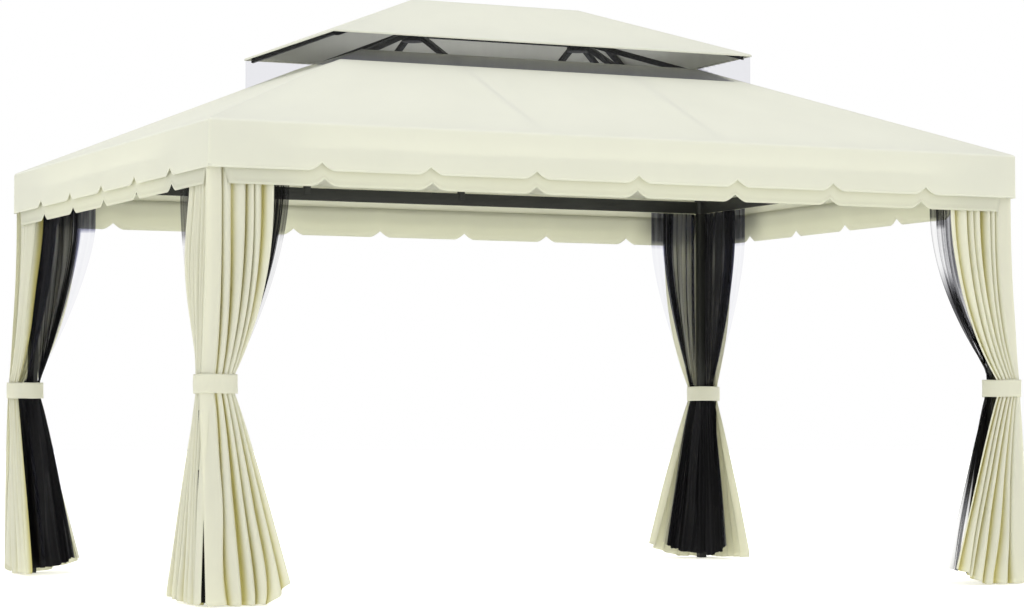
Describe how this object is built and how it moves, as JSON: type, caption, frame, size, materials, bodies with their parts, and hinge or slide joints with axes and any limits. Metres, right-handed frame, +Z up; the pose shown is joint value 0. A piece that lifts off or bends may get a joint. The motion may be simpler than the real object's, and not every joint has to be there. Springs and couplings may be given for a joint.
{
  "type": "garden gazebo",
  "caption": "Open garden gazebo that gives shade: slim metal posts, a tiered cloth roof with a scalloped edge and a mesh vent, and curtains and insect netting tied at the corners.",
  "frame": {"origin": "on the ground, under the middle of the roof", "axes": "+X along the long side, +Y along the short side away from the pictured front, +Z up"},
  "size_m": [4.089, 3.089, 2.8],
  "materials": {
    "frame_metal": "satin dark powder coat",
    "canopy_cloth": "matt coated cloth",
    "curtain_cloth": "matt woven cloth",
    "netting": "fine black net",
    "vent_net": "fine black net"
  },
  "bodies": {
    "root": {"post_A": "frame_metal", "post_B": "frame_metal", "post_C": "frame_metal", "post_D": "frame_metal", "corner_A": "frame_metal", "corner_B": "frame_metal", "corner_C": "frame_metal", "corner_D": "frame_metal", "beam_front": "frame_metal", "beam_back": "frame_metal", "beam_left": "frame_metal", "beam_right": "frame_metal", "bracket_front_left": "frame_metal", "bracket_front_right": "frame_metal", "bracket_back_left": "frame_metal", "bracket_back_right": "frame_metal", "hub_left": "frame_metal", "hub_right": "frame_metal", "ridge_lower": "frame_metal", "ridge_upper": "frame_metal", "hip_rafter_A": "frame_metal", "hip_rafter_B": "frame_metal", "hip_rafter_C": "frame_metal", "hip_rafter_D": "frame_metal", "side_rafter_front_left": "frame_metal", "side_rafter_front_right": "frame_metal", "side_rafter_back_left": "frame_metal", "side_rafter_back_right": "frame_metal", "upper_rafter_A": "frame_metal", "upper_rafter_B": "frame_metal", "upper_rafter_C": "frame_metal", "upper_rafter_D": "frame_metal", "canopy_lower": "canopy_cloth", "canopy_upper": "canopy_cloth", "trim_front": "canopy_cloth", "trim_back": "canopy_cloth", "trim_left": "canopy_cloth", "trim_right": "canopy_cloth", "vent_mesh": "vent_net", "curtain_A": "curtain_cloth", "curtain_B": "curtain_cloth", "curtain_C": "curtain_cloth", "curtain_D": "curtain_cloth", "netting_A": "netting", "netting_B": "netting", "netting_C": "netting", "netting_D": "netting", "tie_A": "curtain_cloth", "tie_B": "curtain_cloth", "tie_C": "curtain_cloth", "tie_D": "curtain_cloth"}
  },
  "joints": []
}
